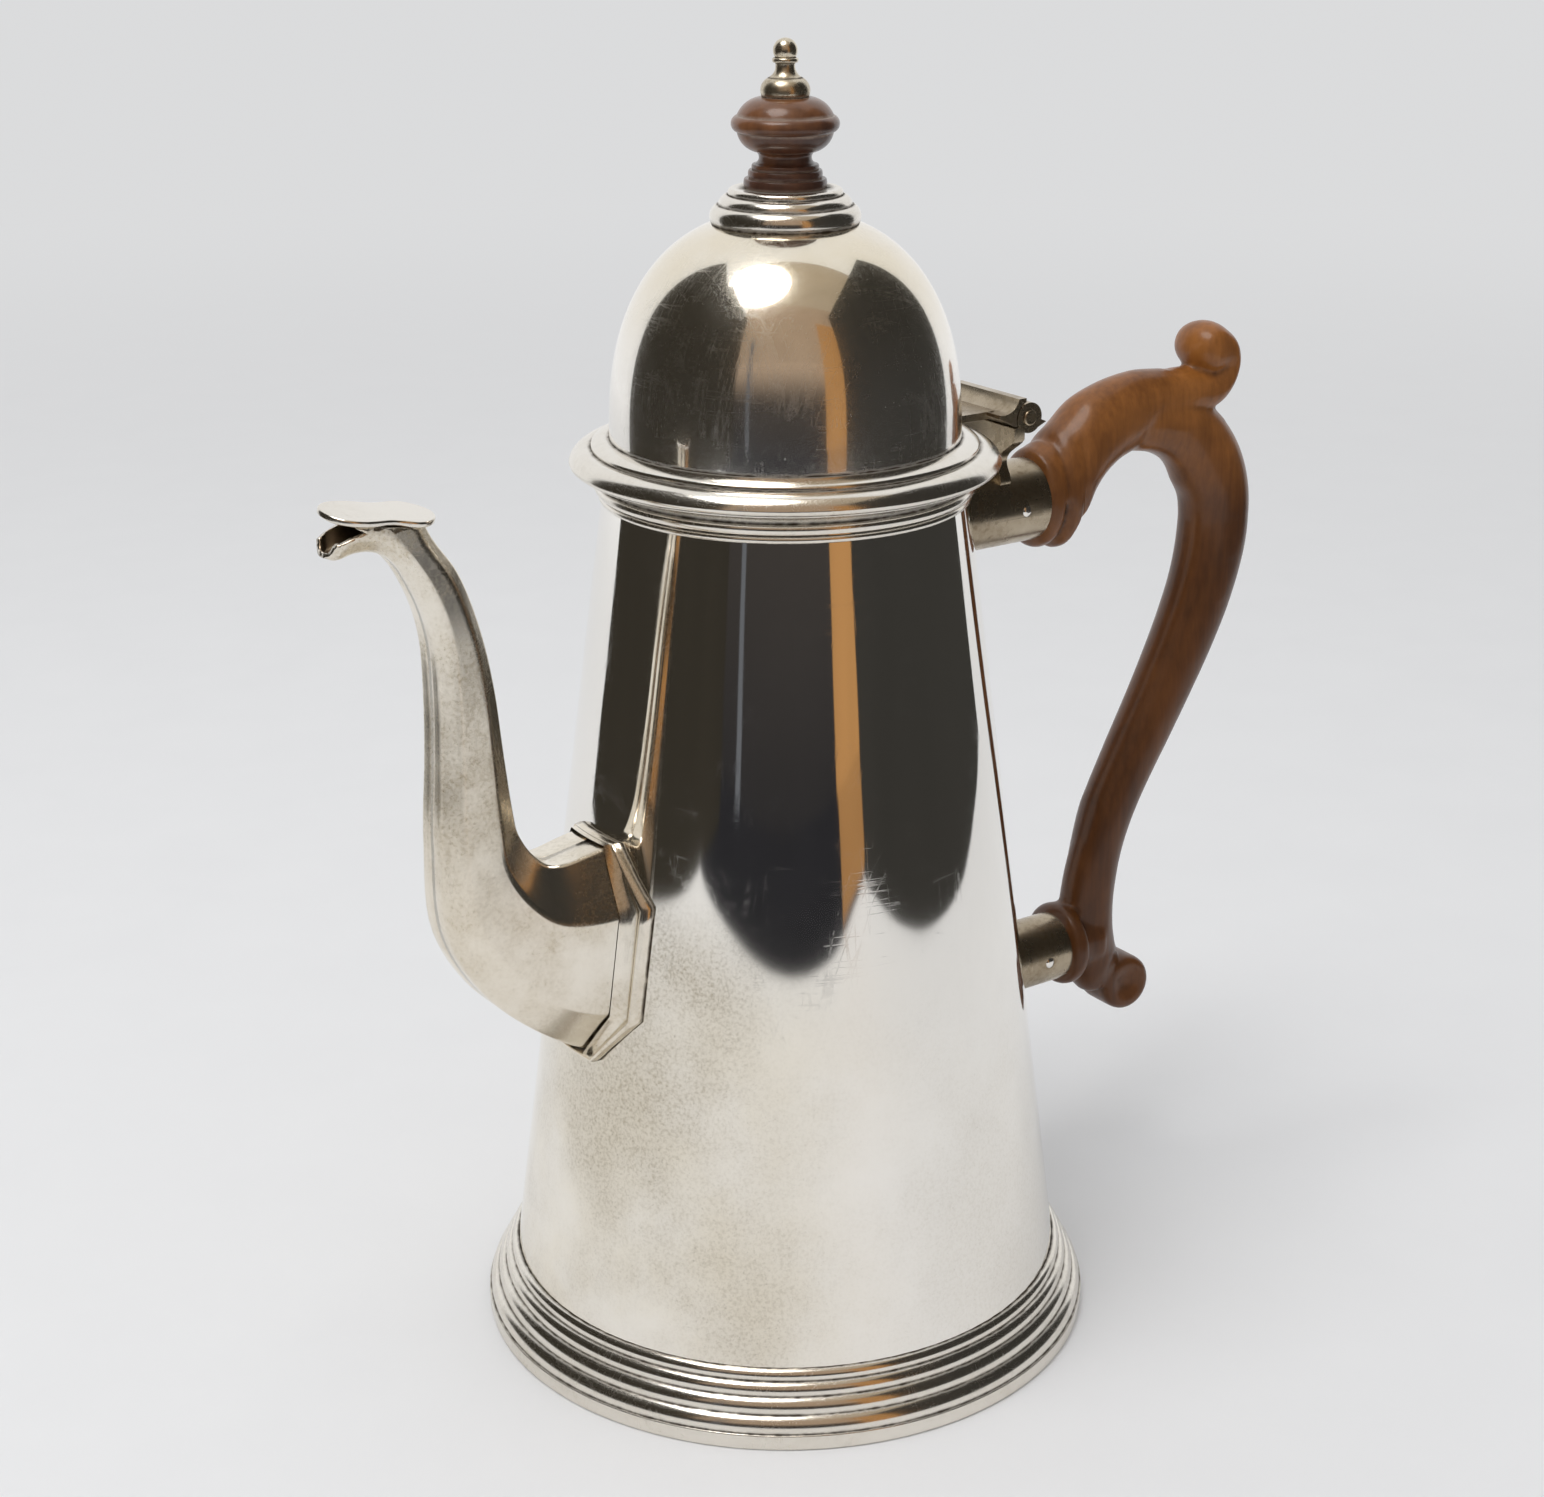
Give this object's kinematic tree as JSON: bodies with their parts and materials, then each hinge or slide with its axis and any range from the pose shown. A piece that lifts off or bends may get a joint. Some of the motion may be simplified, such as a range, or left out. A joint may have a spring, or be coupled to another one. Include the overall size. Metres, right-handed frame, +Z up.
{
  "type": "coffee pot",
  "caption": "Tapering silver coffee pot with a faceted swan-neck spout, a hinged domed lid with a turned finial, a reeded foot and a scrolled wooden handle.",
  "frame": {"origin": "on the pot's axis, in the plane of the table that the foot stands on", "axes": "+Z up along the pot's axis, -X towards the spout, +X towards the handle, Y across the pot"},
  "size_m": [0.213, 0.122, 0.2505],
  "materials": {
    "silver": "polished silver with a warm tone, fine scratches and tarnish in the joints",
    "fruitwood": "waxed fruitwood, satin, worn paler on the upper arm",
    "brass": "dull turned brass"
  },
  "bodies": {
    "pot": {"body_cone": "silver", "base_disc": "silver", "foot_moulding": "silver", "rim_wire": "silver", "rim_moulding": "silver", "hinge_body_leaf": "silver", "hinge_pin": "silver", "upper_socket": "silver", "lower_socket": "silver", "upper_socket_pin": "silver", "lower_socket_pin": "silver", "spout_left_half": "silver", "spout_right_half": "silver", "spout_base_flange": "silver", "spout_lip_plate": "silver", "handle": "fruitwood"},
    "lid": {"lid_flange": "silver", "lid_step_ring": "silver", "lid_dome": "silver", "lid_bezel": "silver", "finial_collar": "silver", "finial_knop": "fruitwood", "finial_cap": "silver", "finial_stud": "silver", "finial_washer": "brass", "finial_nut": "brass", "hinge_lid_leaf": "silver"}
  },
  "joints": [
    {"name": "lid_hinge", "type": "hinge", "parent": "pot", "child": "lid", "pos_m": [0.0506, 0, 0.1775], "axis": [0, 1, 0], "range_deg": [0, 100]}
  ]
}
